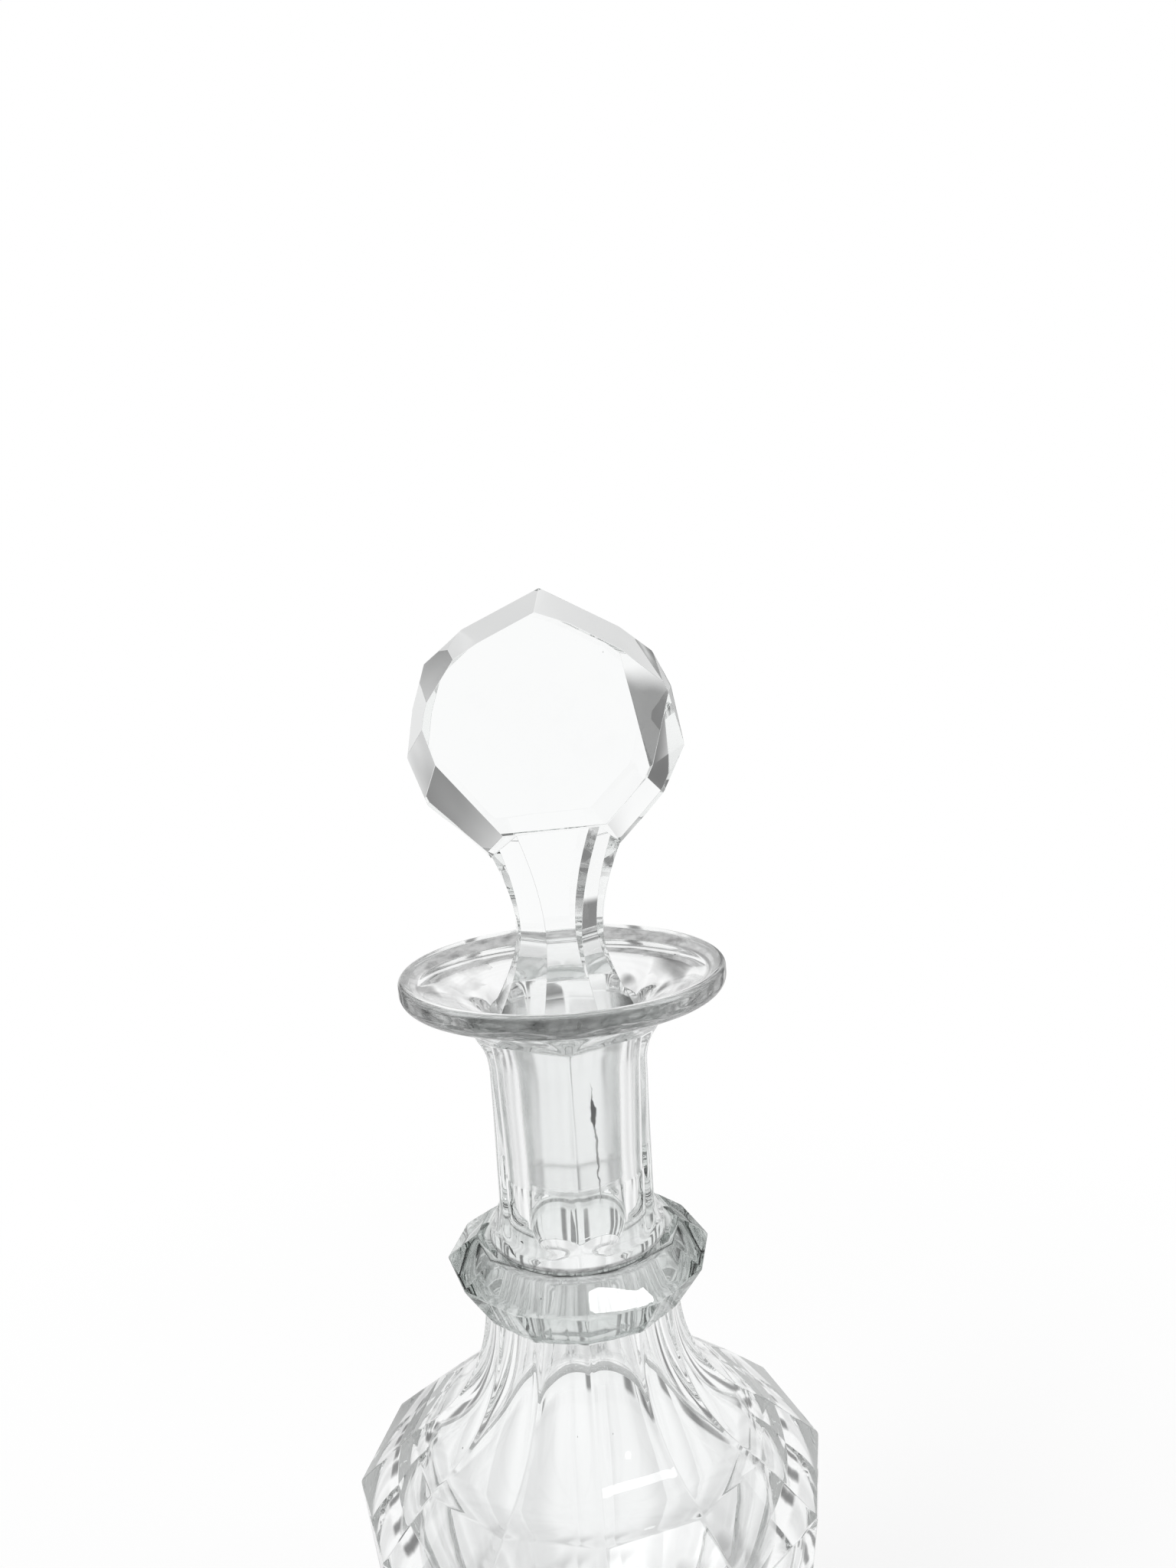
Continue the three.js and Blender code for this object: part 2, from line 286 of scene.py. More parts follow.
class Signal:
    """A shader value that ordinary arithmetic can combine."""

    def __init__(self, recipe: "Recipe", socket: Socket) -> None:
        """Wraps an output socket of a recipe."""
        self.recipe = recipe
        self.socket = socket

    def _math(self, operation: str, first: "Operand", second: "Operand" = 0.0) -> "Signal":
        """Adds one Math node and returns its value."""
        return self.recipe.value("ShaderNodeMath", "Value", {"operation": operation}, {0: first, 1: second})

    def __add__(self, other: "Operand") -> "Signal":
        """Sum."""
        return self._math("ADD", self, other)

    __radd__ = __add__

    def __sub__(self, other: "Operand") -> "Signal":
        """Difference."""
        return self._math("SUBTRACT", self, other)

    def __rsub__(self, other: "Operand") -> "Signal":
        """Reflected difference."""
        return self._math("SUBTRACT", other, self)

    def __mul__(self, other: "Operand") -> "Signal":
        """Product."""
        return self._math("MULTIPLY", self, other)

    __rmul__ = __mul__

    def __truediv__(self, other: "Operand") -> "Signal":
        """Quotient."""
        return self._math("DIVIDE", self, other)

    def __pow__(self, other: "Operand") -> "Signal":
        """Power."""
        return self._math("POWER", self, other)

    def most(self, other: "Operand") -> "Signal":
        """The larger of two values."""
        return self._math("MAXIMUM", self, other)

    def cosine(self) -> "Signal":
        """Cosine of an angle in radians."""
        return self._math("COSINE", self)

    def sine(self) -> "Signal":
        """Sine of an angle in radians."""
        return self._math("SINE", self)

    def heading(self, x: "Signal") -> "Signal":
        """Direction round the axis, in radians, of a place with this Y and the given X."""
        return self._math("ARCTAN2", self, x)

    def share(self) -> "Signal":
        """The value, kept between 0 and 1."""
        return self.recipe.value("ShaderNodeClamp", "Result", {}, {0: self, 1: 0.0, 2: 1.0})

    def ramp(self, low: float, high: float) -> "Signal":
        """Rises smoothly from 0 at low to 1 at high, which may be the smaller number.

        Args:
            low: Value at which the ramp is 0.
            high: Value at which the ramp is 1.

        Returns:
            The ramp's value.
        """
        settings = {"interpolation_type": "SMOOTHSTEP", "clamp": True}
        start, stop = (0.0, 1.0) if low < high else (1.0, 0.0)
        sockets = {0: self, 1: min(low, high), 2: max(low, high), 3: start, 4: stop}
        return self.recipe.value("ShaderNodeMapRange", "Result", settings, sockets)

    def sector(self, middle: float, full: float, half: float) -> "Signal":
        """1 where a direction is within full degrees of the middle and 0 from half degrees on."""
        swing = (self - math.radians(middle)).cosine()
        return swing.ramp(math.cos(math.radians(half)), math.cos(math.radians(full)))


Operand = Union[Signal, float]


class Recipe:
    """A node tree that a finish or the studio is written into."""

    def __init__(self, tree: bpy.types.NodeTree) -> None:
        """Starts from an empty tree."""
        self.tree = tree
        tree.nodes.clear()

    def make(self, kind: str, settings: dict[str, Any], sockets: dict[Any, Any]) -> bpy.types.Node:
        """Adds one node.

        Args:
            kind: Type of the node.
            settings: Properties of the node, set first.
            sockets: Values or links of its inputs, by name or number.

        Returns:
            The node.
        """
        node = self.tree.nodes.new(kind)
        for name, setting in settings.items():
            setattr(node, name, setting)
        for name, value in sockets.items():
            if isinstance(value, Signal):
                value = value.socket
            if isinstance(value, Socket):
                self.tree.links.new(value, node.inputs[name])
            else:
                node.inputs[name].default_value = value
        return node

    def value(self, kind: str, output: Any, settings: dict[str, Any], sockets: dict[Any, Any]) -> Signal:
        """Adds one node and wraps one of its outputs."""
        return Signal(self, self.make(kind, settings, sockets).outputs[output])

    def noise(self, place: Socket, size: float, detail: float, seed: float) -> Signal:
        """Adds a noise pattern.

        Args:
            place: Coordinates of the pattern, in metres.
            size: Size of its larger patches, in metres.
            detail: Number of finer layers.
            seed: Offset that picks the pattern.

        Returns:
            The pattern, about 0 to 1.
        """
        settings = {"noise_dimensions": "4D"}
        sockets = {"Vector": place, "W": seed, "Scale": 1.0 / size, "Detail": detail, "Roughness": 0.55}
        return self.value("ShaderNodeTexNoise", 0, settings, sockets)

    def blend(self, factor: Signal, first: Any, second: Any) -> Socket:
        """Mixes two colours, the factor being the share of the second."""
        sockets = {"Factor": factor, 6: first, 7: second}
        return self.make("ShaderNodeMix", {"data_type": "RGBA"}, sockets).outputs[2]

    def split(self, place: Socket) -> list[Signal]:
        """X, Y and Z of a place."""
        parts = self.make("ShaderNodeSeparateXYZ", {}, {"Vector": place})
        return [Signal(self, part) for part in parts.outputs]

    def ray(self, kind: str) -> Signal:
        """1 for rays of one kind and 0 for the others."""
        return self.value("ShaderNodeLightPath", f"Is {kind} Ray", {}, {})

    def seen(self) -> Signal:
        """1 for rays that reach the eye, straight or by way of the glass, and 0 for those that light it."""
        return self.ray("Camera").most(self.ray("Glossy")).most(self.ray("Transmission"))


def grey(tone: float) -> tuple[float, float, float, float]:
    """Colour of an even grey."""
    return (tone, tone, tone, 1.0)


@dataclass(frozen=True)
class Mark:
    """A small flaw on the glass, along a line in the front view.

    Attributes:
        start: X and Z of one end, in millimetres.
        end: X and Z of the other end, in millimetres.
        width: Half width at the middle, in millimetres. The mark tapers to both ends.
        front: The mark lies only where Y is lower than this, in millimetres.
        back: The mark lies only where Y is higher than this, in millimetres.
        core: Share of the width that the mark fills evenly.
        strength: How much of the glass's own colour it hides.
        tip: Half width that is left at both ends, in millimetres.
        fade: Depth over which the mark fades out in Y, in millimetres.
    """

    start: Pair
    end: Pair
    width: float
    front: float
    back: float
    core: float = 0.45
    strength: float = 1.0
    tip: float = 0.02
    fade: float = 0.2

    def mask(self, x: Signal, y: Signal, z: Signal) -> Signal:
        """Shades the mark.

        Args:
            x: X of the surface, in millimetres.
            y: Y of the surface, in millimetres.
            z: Z of the surface, in millimetres.

        Returns:
            1 in the middle of the mark and 0 away from it.
        """
        run = Vector(self.end) - Vector(self.start)
        share = 1.0 / run.length_squared
        along = ((x - self.start[0]) * (run.x * share) + (z - self.start[1]) * (run.y * share)).share()
        aside = (x - self.start[0]) - along * run.x
        above = (z - self.start[1]) - along * run.y
        reach = (aside * aside + above * above) ** 0.5
        taper = along * (1.0 - along) * (4.0 * self.width) + self.tip
        depth = y.ramp(self.front, self.front - self.fade) * y.ramp(self.back - self.fade, self.back)
        return (reach / taper).ramp(1.0, self.core) * depth * self.strength


@dataclass(frozen=True)
class ShadedScratchedBand:
    """A band round a rim, darkened with painted shade and made rough by fine scratches, both in streaks and
    patches. A range holds the noise values that a pattern rises between.

    Attributes:
        radius: The band lies outside this radius, in millimetres.
        low: Lower end, in millimetres.
        high: Upper end, in millimetres.
        shade_tone: Darkest tone of the band's painted shade.
        pattern_radius: Radius that streaks and patches are wrapped round, in millimetres.
    """

    radius: float
    low: float
    high: float
    shade_tone: float
    fade: float = 0.5
    low_fade: float = 0.6
    pattern_radius: float = 12.0
    streak_size: float = 1.1
    streak_range: Pair = (0.3, 0.75)
    streak_share: float = 0.3
    patch_size: float = 9.0
    patch_range: Pair = (0.3, 0.65)
    patch_share: float = 0.2

    def mask(self, recipe: Recipe, x: Signal, y: Signal, z: Signal, seed: float) -> Signal:
        """Draws the band's painted shade and scratches, with streaks that run round the rim.

        Args:
            recipe: Recipe of the finish.
            x: X of the surface, in millimetres.
            y: Y of the surface, in millimetres.
            z: Z of the surface, in millimetres.
            seed: Picks the streaks.

        Returns:
            1 where the band's painted shade is darkest and 0 off it.
        """
        heading = y.heading(x)
        radius = (x * x + y * y) ** 0.5
        wrap = self.pattern_radius * MM
        sockets = {"X": heading.cosine() * wrap, "Y": heading.sine() * wrap, "Z": z * MM}
        round_rim = recipe.make("ShaderNodeCombineXYZ", {}, sockets).outputs[0]
        streaks = recipe.noise(round_rim, self.streak_size * MM, 3.0, seed).ramp(*self.streak_range)
        patches = recipe.noise(round_rim, self.patch_size * MM, 1.0, seed + 2.0).ramp(*self.patch_range)
        even = 1.0 - self.streak_share - self.patch_share
        # Streaks and patches that set both the painted shade and the scratched roughness.
        shade_and_scratch_pattern = streaks * self.streak_share + patches * self.patch_share + even
        edge = radius.ramp(self.radius - self.fade, self.radius) * z.ramp(self.low - self.low_fade, self.low)
        return edge * z.ramp(self.high + self.fade, self.high) * shade_and_scratch_pattern


@dataclass(frozen=True)
class CutGlass:
    """Clear, colourless polished glass. Sizes of patterns are in millimetres.

    Attributes:
        name: Name of the finish.
        seed: Picks the pattern of smears and ripples.
        tint: Colour of the glass.
        refraction: Index of refraction.
        polish: Roughness of a clean polished face.
        smear: Roughness that finger marks add.
        haze: Tone of a finger mark, as a share of the glass's own.
        ripple: Height of the polishing ripple, in metres.
        ground: Lower and upper end of the ground fit, in millimetres.
        ground_radius: The ground fit lies within this radius, in millimetres.
        ground_fades: How far it fades out aside, below and above, in millimetres.
        ground_roughness: Roughness that the ground fit adds.
        depth_tint: Colour that long ways through the glass take on.
        depth_density: Strength of that colour, for each metre.
        ragged_reach: How far a flaw's line strays, in millimetres.
        speck_size: Least size of a speck and what chance adds, as shares of the spacing.
        marks: Flaws in the glass.
        bands: Bands round the axis with painted shade and scratched roughness.
    """

    name: str
    seed: float
    tint: Triple = (0.985, 0.99, 0.99)
    refraction: float = 1.53
    polish: float = 0.004
    smear: float = 0.03
    haze: float = 0.975
    cloud_size: float = 22.0
    cloud_range: Pair = (0.5, 0.72)
    streak_size: float = 5.0
    streak_range: Pair = (0.45, 0.7)
    streak_share: float = 0.7
    ripple: float = 0.00012
    ripple_size: float = 14.0
    ground: Pair = (168.0, 200.5)
    ground_radius: float = 13.6
    ground_fades: Triple = (0.2, 0.4, 0.6)
    ground_roughness: float = 0.16
    ground_height: float = 0.02
    grain_size: float = 0.7
    depth_tint: Triple = (0.90, 0.91, 0.905)
    depth_density: float = 15.0
    flaw_tone: float = 0.02
    flaw_roughness: float = 0.4
    flaw_height: float = 0.5
    ragged_size: float = 4.0
    ragged_reach: float = 2.2
    worn_roughness: float = 0.08
    speck_spacing: float = 6.5
    speck_range: Pair = (0.80, 0.82)
    speck_size: Pair = (0.02, 0.025)
    marks: tuple[Mark, ...] = ()
    bands: tuple[ShadedScratchedBand, ...] = ()

    def material(self) -> bpy.types.Material:
        """Writes the finish as a node material.

        Returns:
            The material.
        """
        material = bpy.data.materials.new(self.name)
        material.use_nodes = True
        recipe = Recipe(material.node_tree)
        place = recipe.make("ShaderNodeTexCoord", {}, {}).outputs["Object"]
        x, y, z = (part * (1.0 / MM) for part in recipe.split(place))

        clouds = recipe.noise(place, self.cloud_size * MM, 3.0, self.seed).ramp(*self.cloud_range)
        streaks = recipe.noise(place, self.streak_size * MM, 4.0, self.seed + 3.0).ramp(*self.streak_range)
        smears = clouds * (streaks * self.streak_share + (1.0 - self.streak_share))
        radius = (x * x + y * y) ** 0.5
        aside, below, above = self.ground_fades
        fit = (
            radius.ramp(self.ground_radius + aside, self.ground_radius)
            * z.ramp(self.ground[0] - below, self.ground[0])
            * z.ramp(self.ground[1] + above, self.ground[1])
        )
        grind = recipe.noise(place, self.grain_size * MM, 2.0, self.seed + 5.0)
        flaws = self.dust(recipe, place)
        bends = recipe.noise(place, self.ragged_size * MM, 3.0, self.seed + 11.0)
        ragged = (bends - 0.5) * self.ragged_reach
        for mark in self.marks:
            flaws = flaws.most(mark.mask(x + ragged, y, z + ragged))
        roughness = smears * self.smear + self.polish + fit * (grind * 0.5 + 0.75) * self.ground_roughness

        clean = (*self.tint, 1.0)
        hazy = (*(self.haze * channel for channel in self.tint), 1.0)
        base = recipe.blend(smears, clean, hazy)
        colour = recipe.blend(flaws, base, grey(self.flaw_tone))
        # Painted shade: each band darkens the glass towards near black, and adds the roughness of its
        # scratches.
        for band in self.bands:
            scratches_and_shade = band.mask(recipe, x, y, z, self.seed)
            colour = recipe.blend(scratches_and_shade, colour, grey(band.shade_tone))
            roughness = roughness + scratches_and_shade * self.worn_roughness
        ripples = recipe.noise(place, self.ripple_size * MM, 1.0, self.seed + 7.0)
        height = ripples + grind * fit * self.ground_height + flaws * self.flaw_height
        sockets = {"Strength": 1.0, "Distance": self.ripple, "Height": height}
        bump = recipe.make("ShaderNodeBump", {}, sockets)
        shader = recipe.make(
            "ShaderNodeBsdfPrincipled",
            {},
            {
                "Base Color": colour,
                "Roughness": roughness + flaws * self.flaw_roughness,
                "IOR": self.refraction,
                "Transmission Weight": 1.0,
                "Normal": bump.outputs["Normal"],
            },
        )
        sockets = {"Color": (*self.depth_tint, 1.0), "Density": self.depth_density}
        depth = recipe.make("ShaderNodeVolumeAbsorption", {}, sockets)
        sockets = {"Surface": shader.outputs["BSDF"], "Volume": depth.outputs["Volume"]}
        recipe.make("ShaderNodeOutputMaterial", {}, sockets)
        return material

    def dust(self, recipe: Recipe, place: Socket) -> Signal:
        """Scatters a few fine specks.

        Args:
            recipe: Recipe of the finish.
            place: Object coordinates.

        Returns:
            1 on a speck and 0 elsewhere.
        """
        cells = recipe.make(
            "ShaderNodeTexVoronoi",
            {"voronoi_dimensions": "3D", "feature": "F1"},
            {"Vector": place, "Scale": 1.0 / (self.speck_spacing * MM), "Randomness": 1.0},
        )
        pick = recipe.make("ShaderNodeSeparateColor", {}, {"Color": cells.outputs["Color"]})
        chosen = Signal(recipe, pick.outputs["Red"]).ramp(*self.speck_range)
        least, more = self.speck_size
        size = Signal(recipe, pick.outputs["Green"]) * more + least
        return (Signal(recipe, cells.outputs["Distance"]) / size).ramp(1.0, 0.6) * chosen


@dataclass
class Bottle:
    """The blown bottle with its cut panels and flutes. Sizes are in millimetres."""

    columns: int = 180
    panel_count: int = 12
    panel_turn: float = 3.9
    foot_apothem: float = 39.0
    foot_bevel: float = 1.6
    body_apothem: float = 50.0
    body_height: float = 98.7
    body_wall: float = 4.6
    floor_thickness: float = 11.0
    floor_corner: float = 12.0
    pontil_radius: float = 15.0
    pontil_depth: float = 1.6
    pontil_pull: float = 0.6
    bend_drop: float = 2.1
    bend_pull: float = 9.9
    bend_run: float = 21.9
    band_apothem: float = 38.4
    band_top: float = 108.6
    sweep_apothem: float = 20.6
    sweep_top: float = 139.6
    sweep_hollow: float = 9.0
    neck_seat_radius: float = 19.3
    neck_foot: float = 153.9
    neck_waist_radius: float = 18.6
    neck_waist: float = 174.9
    neck_top: float = 195.9
    bore_radius: float = 12.2
    bore_bend: float = 115.5
    flute_count: int = 6
    flute_turn: float = 32.6
    flute_depth: float = 2.2
    flute_foot: float = 2.4
    flute_runout: float = 5.0
    flute_head: float = 2.0
    flute_overrun: float = 0.6
    flute_margin: float = 6.0
    flute_rounding: float = 0.3
    lip_centre: float = 210.4
    lip_radius: float = 34.7
    lip_edge: float = 2.7
    lip_brow: float = 1.2
    lip_land: float = 0.4
    mouth_foot: Pair = (3.7, 3.1)
    mouth_head: Pair = (8.6, 2.5)
    plug_end: float = 168.1
    socket_end_radius: float = 11.9
    socket_top_radius: float = 13.3
    socket_top: float = 200.1
    socket_step: float = 0.5
    edge_width: float = 0.35
    glass: CutGlass = CutGlass(
        "bottle_glass",
        2.0,
        marks=(
            Mark((4.85, 189.6), (5.15, 183.2), 0.75, -15.7, -18.0, 0.5),
            Mark((4.85, 193.0), (5.4, 167.0), 0.28, -15.7, -18.0, 0.3, 0.85),
            Mark((-14.9, 157.2), (-12.6, 155.2), 0.5, -12.0, -17.0),
            Mark((-14.2, 159.6), (-13.6, 158.6), 0.3, -12.0, -17.0),
            Mark((-11.6, 158.2), (-11.1, 157.8), 0.25, -12.0, -17.0),
            Mark((-27.0, 208.6), (-17.0, 206.4), 1.3, 25.0, 2.0, 0.1, 0.3),
            Mark((19.0, 207.0), (25.5, 210.6), 1.6, 28.0, 2.0, 0.1, 0.22),
        ),
        # Painted shade: near-black streaky bands at the lip's rim and at the neck's foot, which also add
        # scratched roughness.
        bands=(ShadedScratchedBand(32.2, 207.9, 212.3, 0.03), ShadedScratchedBand(18.6, 153.6, 154.3, 0.02)),
    )

    def section(self) -> Section:
        """Draws the half section, from the middle of the foot over the lip to the middle of the floor.

        Returns:
            The section, with panel rows at the radius of their corners.
        """
        corner = 1.0 / math.cos(math.pi / self.panel_count)
        flat = Zone.PANEL
        lip_middle = self.lip_radius - self.lip_edge
        lip_under = self.lip_centre - self.lip_edge
        lip_top = self.lip_centre + self.lip_edge
        inside_top = self.body_apothem - self.body_wall
        inside_foot = self.foot_apothem - self.body_wall
        shoulder_inside = self.band_apothem - self.body_wall
        bend_top = self.band_top - self.bend_drop
        foot_edge = (self.foot_apothem - self.foot_bevel) * corner
        section = Section().to(0.0, self.pontil_depth)
        pull = self.pontil_radius * self.pontil_pull
        section.curve([(pull, self.pontil_depth), (self.pontil_radius, 0.0)], 6)
        section.straight(foot_edge, 0.0, 3)
        section.points[-1] = (foot_edge, 0.0, flat)
        section.to(self.foot_apothem * corner, self.foot_bevel, flat)
        section.straight(self.body_apothem * corner, self.body_height, 6, flat)
        section.straight(self.band_apothem * corner, self.band_top, 2, flat)
        sweep = self.sweep_apothem * corner
        section.curve([(sweep, self.band_top + self.sweep_hollow), (sweep, self.sweep_top)], 18, flat)
        section.to(self.neck_seat_radius, self.sweep_top)
        section.to(self.neck_seat_radius, self.neck_foot)
        cut = Zone.FLUTE
        waist = self.neck_waist_radius
        section.curve([(waist, self.neck_foot), (waist, self.neck_waist)], 26, cut)
        flare = [(waist, self.neck_top), (self.neck_seat_radius, lip_under), (lip_middle, lip_under)]
        section.curve(flare, 44, cut)
        brow = self.lip_brow
        section.arc((lip_middle, self.lip_centre), self.lip_edge, -90.0, 0.0, 12)
        section.straight(self.lip_radius, lip_top - brow, 3)
        section.arc((self.lip_radius - brow, lip_top - brow), brow, 0.0, 90.0, 8)
        mouth = self.lip_radius - brow - self.lip_land
        section.to(mouth, lip_top)
        section.curve(
            [
                (mouth - self.mouth_head[0], lip_top - self.mouth_head[1]),
                (self.socket_top_radius + self.mouth_foot[0], self.socket_top + self.mouth_foot[1]),
                (self.socket_top_radius, self.socket_top),
            ],
            34,
        )
        section.straight(self.socket_end_radius, self.plug_end, 6)
        bore, floor = self.bore_radius, self.floor_thickness
        section.to(bore, self.plug_end - self.socket_step)
        section.straight(bore, self.neck_foot, 3)
        section.curve([(bore, self.sweep_top), (bore, self.bore_bend), (shoulder_inside, bend_top)], 24)
        section.curve([(inside_top, bend_top - self.bend_pull), (inside_top, bend_top - self.bend_run)], 12)
        section.straight(inside_foot, floor + self.floor_corner, 6)
        section.curve([(inside_foot, floor), (inside_foot - self.floor_corner, floor)], 10)
        return section.straight(0.0, floor, 4)

    def flute_reach(self, height: float) -> float:
        """Distance of the flutes' flats from the axis.

        Args:
            height: Height over the table.

        Returns:
            The distance, which runs out at both ends of the flutes.
        """
        flat = self.neck_waist_radius - self.flute_depth
        low = self.neck_foot + self.flute_foot
        high = self.neck_top - self.flute_head
        under = self.lip_centre - self.lip_edge
        outside = self.lip_radius + self.flute_margin
        if height <= low:
            return outside
        if height < low + self.flute_runout:
            left = 1.0 - math.sqrt((height - low) / self.flute_runout)
            return flat + (self.neck_seat_radius + self.flute_overrun - flat) * left**2
        if height <= high:
            return flat
        along = 1.0 - math.sqrt(max(0.0, 1.0 - (height - high) / (under - high)))
        return flat + (outside - flat) * along**2

    def cut_flutes(self, blank: Mesh) -> None:
        """Moves the neck's rows in to the flutes, with a slightly rounded meeting of flute and blank.

        Args:
            blank: Turned blank with a panel ridge at angle 0.
        """
        layer = blank.verts.layers.int["zone"]
        ridge = math.radians(self.flute_turn - self.panel_turn)
        for vert in blank.verts:
            if vert[layer] != Zone.FLUTE:
                continue
            radius = vert.co.xy.length
            offset = off_middle(math.atan2(vert.co.y, vert.co.x), ridge, self.flute_count)
            reach = self.flute_reach(vert.co.z) / math.cos(offset)
            limit = (radius + reach - math.hypot(radius - reach, self.flute_rounding)) / 2
            scale = min(1.0, limit / radius)
            vert.co.x *= scale
            vert.co.y *= scale

    def build(self) -> bpy.types.Object:
        """Turns, cuts and polishes the bottle.

        Returns:
            The bottle.
        """
        blank = self.section().spun(self.columns)
        cut_panels(blank, self.panel_count)
        self.cut_flutes(blank)
        creases = (0.0, self.foot_bevel, self.body_height, self.band_top, self.sweep_top)
        soften(blank, panel_edges(blank, self.panel_count, creases), self.edge_width, 2)
        piece = placed(blank, "decanter_bottle", self.panel_turn)
        shade_facets(piece)
        return piece

    def dress(self, piece: bpy.types.Object) -> None:
        """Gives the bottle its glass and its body."""
        piece.data.materials.append(self.glass.material())
        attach(piece, Body.BOTTLE.value)
        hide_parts("bottle")


@dataclass
class NeckRing:
    """The faceted ring round the foot of the neck. Sizes are in millimetres."""

    columns: int = 120
    facet_count: int = 12
    facet_turn: float = 3.9
    corner_radius: float = 29.0
    lower_rise: float = 9.2
    end_radius: float = 22.36
    bore_radius: float = 19.2
    sink: float = 0.4
    waver: float = 0.4
    lift_turn: float = 2.3
    lift_start: float = 0.7
    draw_turn: float = 1.7
    edge_width: float = 0.3
    # Painted shade: the ring's glass absorbs far more strongly than the bottle's (190 against 15 for each
    # metre), so the ring shows grey.
    glass: CutGlass = CutGlass("ring_glass", 5.0, smear=0.02, depth_density=190.0)

    def hand_cut(self, blank: Mesh) -> None:
        """Lets the facets waver a little, as they do on a ring that is cut by eye.

        Args:
            blank: Ring with its facets and edges.
        """
        step = math.tau / self.facet_count
        corners = range(self.facet_count)
        lifts = [math.sin(self.lift_turn * corner * corner + self.lift_start) for corner in corners]
        draws = [0.5 + 0.5 * math.cos(self.draw_turn * corner * corner) for corner in corners]
        for vert in blank.verts:
            reach = vert.co.xy.length
            free = min(1.0, max(0.0, (reach - self.bore_radius) / (self.corner_radius - self.bore_radius)))
            corner, angle = divmod(math.atan2(vert.co.y, vert.co.x) % math.tau, step)
            along = 0.5 + 0.5 * math.tan(angle - step / 2) / math.tan(step / 2)
            near, far = int(corner) % self.facet_count, int(corner + 1) % self.facet_count
            vert.co.z += self.waver * free * (lifts[near] + (lifts[far] - lifts[near]) * along)
            draw = draws[near] + (draws[far] - draws[near]) * along
            vert.co.xy *= 1.0 - self.waver * free * draw / reach

    def build(self) -> bpy.types.Object:
        """Turns the ring, cuts its facets and softens their edges.

        Returns:
            The ring.
        """
        low, high = (corner.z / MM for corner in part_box("neck_ring"))
        edge = low + self.lower_rise
        flat = Zone.PANEL
        seat = low - self.sink
        section = Section().to(self.bore_radius, high).straight(self.bore_radius, seat, 4)
        section.to(self.end_radius, seat, flat).straight(self.corner_radius, edge, 2, flat)
        section.straight(self.end_radius, high, 2, flat)
        blank = section.spun(self.columns, closed=True)
        cut_panels(blank, self.facet_count)
        soften(blank, panel_edges(blank, self.facet_count, (seat, edge, high)), self.edge_width, 2)
        self.hand_cut(blank)
        piece = placed(blank, "decanter_neck_ring", self.facet_turn)
        shade_facets(piece)
        return piece

    def dress(self, piece: bpy.types.Object) -> None:
        """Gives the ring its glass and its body."""
        piece.data.materials.append(self.glass.material())
        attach(piece, Body.BOTTLE.value)
        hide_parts("neck_ring")


def joined(solids: Sequence[Mesh]) -> Mesh:
    """Unites solids into one closed body.

    Args:
        solids: The solids, in millimetres, used up by the call.

    Returns:
        The united body.
    """
    helpers = []
    for number, solid in enumerate(solids):
        data = bpy.data.meshes.new(f"stopper_blank_{number}")
        solid.to_mesh(data)
        solid.free()
        helpers.append(linked(data.name, data))
    for other in helpers[1:]:
        union = helpers[0].modifiers.new("union", "BOOLEAN")
        union.operation = "UNION"
        union.solver = "EXACT"
        union.object = other
    graph = bpy.context.evaluated_depsgraph_get()
    united = bmesh.new()
    united.from_mesh(helpers[0].evaluated_get(graph).data)
    for helper in helpers:
        data = helper.data
        bpy.data.objects.remove(helper)
        bpy.data.meshes.remove(data)
    bmesh.ops.remove_doubles(united, verts=united.verts[:], dist=UNION_WELD)
    bmesh.ops.dissolve_degenerate(united, edges=united.edges[:], dist=SLIVER)
    return united


@dataclass(frozen=True)
class Facet:
    """One facet of the disc's bevel, cut by eye. Sizes are in millimetres.

    Attributes:
        heading: Direction from the disc's middle, in degrees up from the right.
        inner: Distance from the middle at which the facet leaves the flat face.
        outer: Distance from the middle at which it meets the disc's edge.
        side: -1 on the front face and 1 on the back face.
    """

    heading: float
    inner: float
    outer: float
    side: int


